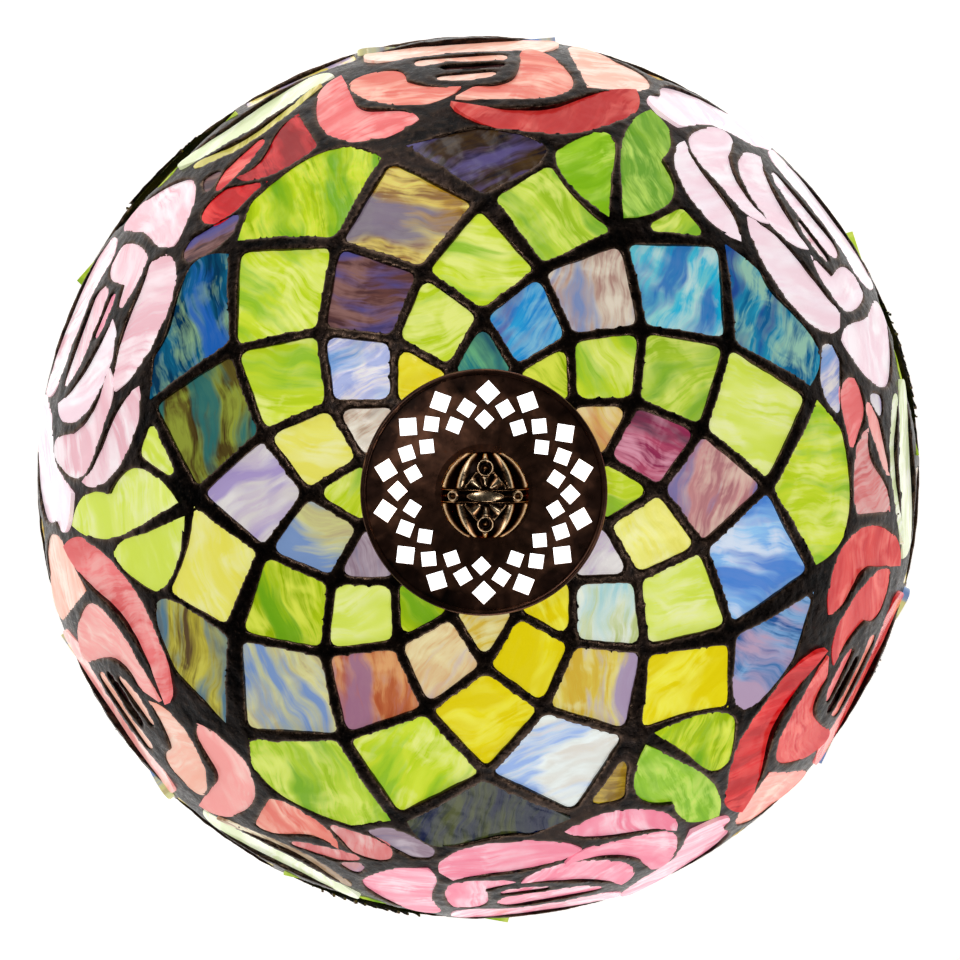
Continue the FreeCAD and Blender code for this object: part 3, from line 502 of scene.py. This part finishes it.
def soft_stuff(name, base, other, scale, rough, depth):
    """Felt, rubber, card or moulded plastic: no metal, a fine grain of its own."""
    s = Shader(name)
    place = s.place()
    grain = s.noise(place, scale, 5.0, 0.7)
    wide = s.noise(place, scale * 0.08, 2.0)
    tone = s.mix(s.math("MULTIPLY", s.math("ADD", grain, wide), 0.5), base, other)
    return s.principled(base_color=tone, roughness=rough, normal=s.bump(grain, 0.5, depth))


def opal_bulb(name):
    s = Shader(name)
    mist = s.noise(s.place(), 70.0, 3.0)
    tone = s.mix(s.ramp(mist, (0.3, 0.0), (0.7, 1.0)), colour(1.0, 0.93, 0.82), colour(1.0, 0.97, 0.92))
    return s.principled(base_color=tone, roughness=0.30, coat_weight=0.5, coat_roughness=0.05,
                        emission_color=tone, emission_strength=0.9)


GLASS = {name: glass_material(name) for name in (
    "lime_glass", "mixed_glass", "amber_glass", "blue_glass", "green_glass", "pink_glass", "red_glass")}
SOLDER = patina("solder", colour(0.06, 0.046, 0.044), colour(0.16, 0.115, 0.095), colour(0.54, 0.43, 0.35),
                patches=90.0, rough=(0.24, 0.46), metal=0.9, lumps=0.45)
BRONZE = patina("bronze", colour(0.13, 0.085, 0.06), colour(0.24, 0.15, 0.10), colour(0.52, 0.34, 0.21),
                patches=45.0)
CAST_BRONZE = finial_bronze("cast_bronze")
IRON = patina("iron", colour(0.16, 0.15, 0.14), colour(0.26, 0.22, 0.19), colour(0.40, 0.36, 0.33))
CAP_BRONZE = patina("cap_bronze", colour(0.17, 0.12, 0.10), colour(0.36, 0.235, 0.185),
                    colour(0.62, 0.42, 0.32), patches=30.0, rough=(0.26, 0.42), metal=0.9, lumps=0.12)
BRASS = bright_metal("brass", colour(0.80, 0.62, 0.32), colour(0.52, 0.37, 0.18))
CHAIN_BRASS = bright_metal("chain_brass", colour(0.84, 0.68, 0.38), colour(0.60, 0.44, 0.22), 0.22)
STEEL = bright_metal("steel", colour(0.66, 0.66, 0.66), colour(0.44, 0.42, 0.40), 0.32)
NICKEL = bright_metal("nickel", colour(0.80, 0.79, 0.76), colour(0.62, 0.60, 0.57), 0.20)
FELT = soft_stuff("felt", colour(0.10, 0.20, 0.13), colour(0.20, 0.34, 0.22), 1800.0, 0.95, 0.0006)
RUBBER = soft_stuff("rubber", colour(0.05, 0.05, 0.05), colour(0.12, 0.12, 0.12), 900.0, 0.65, 0.0002)
PHENOLIC = soft_stuff("phenolic", colour(0.08, 0.05, 0.04), colour(0.17, 0.10, 0.07), 260.0, 0.35, 0.0001)
CARD = soft_stuff("card", colour(0.72, 0.66, 0.54), colour(0.84, 0.79, 0.68), 700.0, 0.85, 0.0003)
OPAL = opal_bulb("bulb_glass")

PLAIN_NODES = {
    FELT: ["foot_felt"], IRON: ["foot_ballast"], RUBBER: ["cord_inlet_grommet"],
    STEEL: ["foot_washer", "foot_nut", "threaded_pipe", "riser_pipe"],
    BRONZE: ["cluster_body", "cluster_cover", "lampholder_arms"],
    CAP_BRONZE: ["heat_cap"],
    BRASS: ["lampholder_caps", "lampholder_shells", "lampholder_screw_shells", "lampholder_contacts",
            "chain_bells", "check_ring", "shade_spider", "finial_washer", "finial_bush"],
    CARD: ["lampholder_liners"], PHENOLIC: ["lampholder_switch_blocks"],
    CHAIN_BRASS: ["chain_link_left", "chain_link_right", "pull_chain_left", "pull_chain_right"],
    NICKEL: ["bulb_cap_left", "bulb_cap_right"],
    OPAL: ["bulb_glass_left", "bulb_glass_right", "bulb_stem_left", "bulb_stem_right"],
}
SHARP_NODES = {"cluster_cover": 0.5, "heat_cap": 0.35, "lampholder_caps": 0.4, "lampholder_shells": 0.3,
               "chain_bells": 0.25, "finial_washer": 0.2, "foot_nut": 0.4, "cluster_body": 0.5}


def dress_nodes():
    """Materials for the CAD nodes that stay in view, and a small round on their hard edges."""
    for material, names in PLAIN_NODES.items():
        for name in names:
            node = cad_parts[name]
            node.data.materials.clear()
            node.data.materials.append(material)
            if name in SHARP_NODES:
                round_off = node.modifiers.new("round", "BEVEL")
                round_off.width = SHARP_NODES[name] * MM
                round_off.segments = 2
                round_off.limit_method = "ANGLE"


# ---------------------------------------------------------------- solder
SOLDER_VOXEL = 1.0 * MM
# Millimetres off the sides of a seam, and how much of that its crown keeps.
SOLDER_THINNED = 0.78
SOLDER_CROWN = 0.28
DOME_RADIUS = 155
DOME_RISE = 135
DOME_STRETCH = (DOME_RADIUS / DOME_RISE) ** 2


def make_solder():
    """The seams and the rim band as one skin of run solder, rounded over and a little lumpy."""
    bm = bmesh.new()
    for node in ("shade_leading", "shade_rim_band"):
        bm.from_mesh(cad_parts[node].data)
    bmesh.ops.remove_doubles(bm, verts=bm.verts, dist=SAME_POINT)
    mesh = bpy.data.meshes.new("solder_blank")
    bm.to_mesh(mesh)
    bm.free()
    blank = bpy.data.objects.new("solder_blank", mesh)
    bpy.context.scene.collection.objects.link(blank)
    remesh = blank.modifiers.new("run", "REMESH")
    remesh.mode = "VOXEL"
    remesh.voxel_size = SOLDER_VOXEL
    relax = blank.modifiers.new("relax", "SMOOTH")
    relax.factor = 0.5
    relax.iterations = 3
    view = bpy.context.evaluated_depsgraph_get()
    flowed = bpy.data.meshes.new_from_object(blank.evaluated_get(view))
    bpy.data.objects.remove(blank)
    bm = bmesh.new()
    bm.from_mesh(flowed)
    bm.normal_update()
    for vert in bm.verts:
        spot = vert.co
        out = Vector((spot.x, spot.y, (spot.z - RIM_LEVEL) * DOME_STRETCH)).normalized()
        lump = 0.28 * noise.noise(spot * 150) + 0.14 * noise.noise(spot * 420) - SOLDER_THINNED
        lump += SOLDER_CROWN * max(0.0, vert.normal.dot(out))
        vert.co = spot + vert.normal * lump * MM
    for face in bm.faces:
        face.smooth = True
    return piece_from(bm, "solder_seams", SOLDER, "shade", "solder", "shade_leading", "shade_rim_band")


# ---------------------------------------------------------------- turned pieces
def seam_profile(node):
    """The section of a turned CAD node in its half plane, as a closed loop of (radius, height) in metres."""
    bm = bmesh.new()
    bm.from_mesh(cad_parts[node].data)
    bmesh.ops.remove_doubles(bm, verts=bm.verts, dist=SAME_POINT)
    on_seam = {vert for vert in bm.verts if abs(vert.co.y) < 1e-6 and vert.co.x > 0}
    steps = {}
    for vert in on_seam:
        beside = [edge.other_vert(vert) for edge in vert.link_edges]
        steps[vert] = [other for other in beside if other in on_seam]
    start = min(on_seam, key=lambda vert: (vert.co.z, vert.co.x))
    loop, before, vert = [], None, start
    while vert is not None and (vert is not start or not loop):
        loop.append((vert.co.x, vert.co.z))
        onward = [other for other in steps[vert] if other is not before and (other is start or
                  (other.co.x, other.co.z) not in loop)]
        before, vert = vert, (onward[0] if onward else None)
    bm.free()
    return loop


def divided(loop, step):
    """The same loop with no side longer than a step."""
    out = []
    for (r0, z0), (r1, z1) in zip(loop, loop[1:] + loop[:1]):
        parts = max(1, int(math.hypot(r1 - r0, z1 - z0) / step))
        out += [(r0 + (r1 - r0) * i / parts, z0 + (z1 - z0) * i / parts) for i in range(parts)]
    return out


def make_turned(node, segments, relief, step=1.2 * MM, open_at=None):
    """A turned node again, finely divided, with its ornament raised by relief(angle, radius, height)."""
    loop = divided(seam_profile(node), step)
    inner = min(radius for radius, _ in loop)
    bm = bmesh.new()
    rings = []
    for index in range(segments):
        angle = TURN * index / segments
        ring = []
        for radius, height in loop:
            out = radius + (relief(angle, radius, height) if radius > inner + 2 * MM else 0)
            ring.append(bm.verts.new((out * math.cos(angle), out * math.sin(angle), height)))
        rings.append(ring)
    count = len(loop)
    for first, second in zip(rings, rings[1:] + rings[:1]):
        for i in range(count):
            j = (i + 1) % count
            bm.faces.new((first[i], second[i], second[j], first[j]))
    if open_at:
        bmesh.ops.delete(bm, geom=[face for face in bm.faces if open_at(face.calc_center_median())],
                         context="FACES")
    bmesh.ops.recalc_face_normals(bm, faces=bm.faces)
    for face in bm.faces:
        face.smooth = True
    for edge in bm.edges:
        if len(edge.link_faces) == 2 and edge.calc_face_angle(0) > 0.6:
            edge.smooth = False
    return piece_from(bm, "turned_" + node, BRONZE, "base", "bronze", node)


def smooth_step(value, low, high):
    share = max(0.0, min(1.0, (value - low) / (high - low)))
    return share * share * (3 - 2 * share)


def band(value, low, high, edge):
    return smooth_step(value, low, low + edge) * (1 - smooth_step(value, high - edge, high))


def leaf_relief(count, low, high, depth):
    """Overlapping rounded leaves round a turned form, between two heights."""
    def relief(angle, radius, height):
        share = (height - low) / (high - low)
        if not 0 < share < 1:
            return 0.0
        across = math.cos(count * angle)
        rib = math.exp(-((1 - across) * 9))
        scallop = 0.5 + 0.5 * across
        return depth * (scallop ** 0.6 - 0.75 + 0.4 * rib) * band(height, low, high, (high - low) * 0.22)
    return relief


def make_foot_and_stem():
    """The foot with leaves round its rim and crown, and the stem with leaves, a lobed knop and flutes."""
    foot_low, foot_high = (corner.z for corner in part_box("foot_casting"))
    rim_leaves = leaf_relief(36, foot_low + 0.1 * MM, foot_low + 8 * MM, 0.5 * MM)
    long_leaves = leaf_relief(18, foot_low + 9 * MM, foot_high - 7 * MM, 1.3 * MM)

    def foot_relief(angle, radius, height):
        return min(0.0, rim_leaves(angle, radius, height)) + long_leaves(angle, radius, height)

    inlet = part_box("cord_inlet_grommet")
    inlet_height = (inlet[0].z + inlet[1].z) / 2

    def at_inlet(spot):
        return spot.y > 0.06 and math.hypot(spot.x, spot.z - inlet_height) < 4.3 * MM

    make_turned("foot_casting", 288, foot_relief, open_at=at_inlet)
    low, high = (corner.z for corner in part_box("stem_lower"))
    leaves = leaf_relief(12, low + 9 * MM, low + 62 * MM, 1.1 * MM)
    make_turned("stem_lower", 144, leaves)
    low, high = (corner.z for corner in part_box("stem_knop"))
    make_turned("stem_knop", 144, leaf_relief(16, low, high, 0.9 * MM), step=0.8 * MM)
    low, high = (corner.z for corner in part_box("stem_upper"))

    def flutes(angle, radius, height):
        groove = -0.55 * MM * abs(math.cos(6 * angle)) ** 0.7
        return groove * band(height, low + 9 * MM, high - 18 * MM, 4 * MM)

    make_turned("stem_upper", 144, flutes)


# ---------------------------------------------------------------- finial
def ridge(value, width):
    """A rounded ridge that peaks where value is 0."""
    return math.exp(-(value / width) ** 2)


def finial_relief(spot):
    """How high the cast pattern stands, 0 to 1, at a direction from the ball's middle."""
    x, y, z = spot
    side, out = abs(y), abs(x)
    if z < -0.55:
        return 0.2
    if side < 0.16 and z > 0:
        boss = math.hypot(x / 0.40, side / 0.115)
        if boss < 1:
            return 0.70 + 0.30 * math.cos(boss * 1.3)
        knot = 0.95 * ridge(math.hypot(out - 0.72, side * 0.9) - 0.09, 0.035)
        return max(0.75 * ridge(side - 0.135, 0.018), 0.55 * ridge(side, 0.05), knot)
    around = math.degrees(math.atan2(x, side - 0.10))
    spread = math.hypot(x, side - 0.10)
    eye = math.hypot(x, side - 0.62)
    if z > 0 and eye < 0.20:
        return max(0.95 * ridge(eye - 0.165, 0.024), 0.70 * ridge(eye, 0.06))
    if z > 0 and spread < 0.50:
        petal = abs(math.cos(math.radians(around * 3.5)))
        edge = 0.85 * ridge(spread - 0.46 + 0.05 * petal, 0.028)
        return max(edge, (0.30 + 0.65 * petal ** 2.5) * band(spread, 0.08, 0.46, 0.07))
    lean = math.degrees(math.atan2(x, z))
    rib = abs(math.cos(math.radians(lean * 5.2)))
    return 0.15 + 0.80 * rib ** 4 * band(side, 0.14, 0.97, 0.06)


FINIAL_DEPTH = 0.9
# The collar under the ball, as (radius, height above its foot) in millimetres.
COLLAR = [(9.5, 0), (9.5, 0.8), (9.1, 1.7), (7.6, 2.4), (7.2, 3.0), (7.9, 3.6), (8.4, 4.2), (7.8, 4.8)]


def make_finial():
    """A cast ball on a collar: a lens-shaped boss in a band, two palmettes, and ribs at the sides."""
    low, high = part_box("finial")
    radius = (high.x - low.x) / 2
    middle = Vector((0, 0, high.z - radius))
    neck = min(r for r, z in seam_profile("finial") if abs(z - low.z) < 0.2 * MM)
    bm = bmesh.new()
    relief = bm.verts.layers.float.new("relief")
    rows, columns = 180, 280
    grid = []
    for row in range(rows + 1):
        tilt = math.pi * row / rows
        ring = []
        for column in range(columns):
            turn = TURN * column / columns
            way = Vector((math.sin(tilt) * math.cos(turn), math.cos(tilt), math.sin(tilt) * math.sin(turn)))
            height = finial_relief(way)
            vert = bm.verts.new(middle + way * (radius + (FINIAL_DEPTH * height - FINIAL_DEPTH) * MM))
            vert[relief] = height
            ring.append(vert)
        grid.append(ring)
    for first, second in zip(grid, grid[1:]):
        for i in range(columns):
            j = (i + 1) % columns
            bm.faces.new((first[i], first[j], second[j], second[i]))
    bmesh.ops.remove_doubles(bm, verts=bm.verts, dist=1e-7)
    profile = [(radius * MM, low.z + height * MM) for radius, height in COLLAR]
    profile = [(neck, profile[0][1])] + profile + [(neck, profile[-1][1])]
    around = 96
    rings = [[bm.verts.new((r * math.cos(TURN * i / around), r * math.sin(TURN * i / around), z))
              for r, z in profile] for i in range(around)]
    for first, second in zip(rings, rings[1:] + rings[:1]):
        for i in range(len(profile)):
            j = (i + 1) % len(profile)
            bm.faces.new((first[i], second[i], second[j], first[j]))
    bmesh.ops.recalc_face_normals(bm, faces=bm.faces)
    for face in bm.faces:
        face.smooth = True
    return piece_from(bm, "cast_finial", CAST_BRONZE, "finial", "cast_bronze", "finial")


# ---------------------------------------------------------------- studio
def make_floor():
    bm = bmesh.new()
    bmesh.ops.create_grid(bm, x_segments=24, y_segments=24, size=25.0)
    mesh = bpy.data.meshes.new("floor")
    bm.to_mesh(mesh)
    bm.free()
    floor = bpy.data.objects.new("floor", mesh)
    bpy.context.scene.collection.objects.link(floor)
    s = Shader("pale_floor")
    tone = s.mix(s.noise(s.place(), 6.0), colour(0.97, 0.97, 0.97), colour(0.99, 0.99, 0.99))
    mesh.materials.append(s.principled(base_color=tone, roughness=0.9, emission_color=tone,
                                       emission_strength=0.75))


def area_light(name, place, aim, size, power, tint=(1, 1, 1)):
    data = bpy.data.lights.new(name, "AREA")
    data.shape = "DISK"
    data.size = size
    data.energy = power
    data.color = tint
    light = bpy.data.objects.new(name, data)
    bpy.context.scene.collection.objects.link(light)
    light.location = place
    light.rotation_euler = (Vector(aim) - Vector(place)).to_track_quat("-Z", "Y").to_euler()
    return light


def make_world():
    """A pale studio: bright overhead and dimmer towards the horizon."""
    world = bpy.data.worlds.new("studio")
    world.use_nodes = True
    tree = world.node_tree
    place = tree.nodes.new("ShaderNodeTexCoord")
    height = tree.nodes.new("ShaderNodeSeparateXYZ")
    fade = tree.nodes.new("ShaderNodeMapRange")
    fade.inputs["To Min"].default_value = 0.22
    fade.inputs["To Max"].default_value = 0.50
    tree.links.new(place.outputs["Generated"], height.inputs[0])
    tree.links.new(height.outputs["Z"], fade.inputs["Value"])
    tree.links.new(fade.outputs[0], tree.nodes["Background"].inputs["Strength"])
    bpy.context.scene.world = world


def make_lights():
    """Four soft studio lamps, and the lamp's own light seen through the vents and falling inside the dome."""
    area_light("key", (-0.55, 0.5, 1.5), (0, 0, 0.4), 0.30, 2.6)
    area_light("fill", (0.8, -0.4, 1.35), (0, 0, 0.35), 0.35, 1.6)
    area_light("front", (0.3, -1.5, 0.7), (0, 0, 0.25), 0.8, 4)
    area_light("back", (-0.4, 1.5, 0.7), (0, 0, 0.25), 0.8, 4)
    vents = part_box("heat_cap")[0].z
    glow = area_light("lamp_glow", (0, 0, vents - 0.5 * MM), (0, 0, 0), 73 * MM, 0.03)
    glow.rotation_euler = (math.pi, 0, 0)
    glow.visible_camera = True
    area_light("under_glow", (0, 0, vents - 0.03), (0, 0, 0), 0.08, 0.5, (1.0, 0.93, 0.80))


CAMERA_DISTANCE = 0.800
CAMERA_LEAN_X = math.radians(-0.8)
CAMERA_LEAN_Y = math.radians(2.2)
CAMERA_LENS = 97.6
DOME_TOP = Vector((0, 0, 0.425))
AIM_OFFSET = Vector((-0.0012, 0.0038, 0))


def make_camera():
    """Looks down on the dome from almost straight above."""
    data = bpy.data.cameras.new("camera")
    data.lens = CAMERA_LENS
    data.sensor_width = 36
    data.clip_end = 30
    camera = bpy.data.objects.new("camera", data)
    bpy.context.scene.collection.objects.link(camera)
    lean = Vector((math.sin(CAMERA_LEAN_X), math.sin(CAMERA_LEAN_Y), 1)).normalized()
    place = DOME_TOP + lean * CAMERA_DISTANCE
    back = (place - (DOME_TOP + AIM_OFFSET)).normalized()
    right = Vector((0, 1, 0)).cross(back).normalized()
    turn = Matrix((right, back.cross(right), back)).transposed()
    camera.matrix_world = Matrix.Translation(place) @ turn.to_4x4()
    bpy.context.scene.camera = camera
    bpy.context.scene.view_settings.view_transform = "Standard"


make_camera()
make_world()
make_lights()
make_floor()
dress_nodes()
for number, label in enumerate(PANES):
    make_panes(label, number)
make_solder()
make_foot_and_stem()
make_finial()
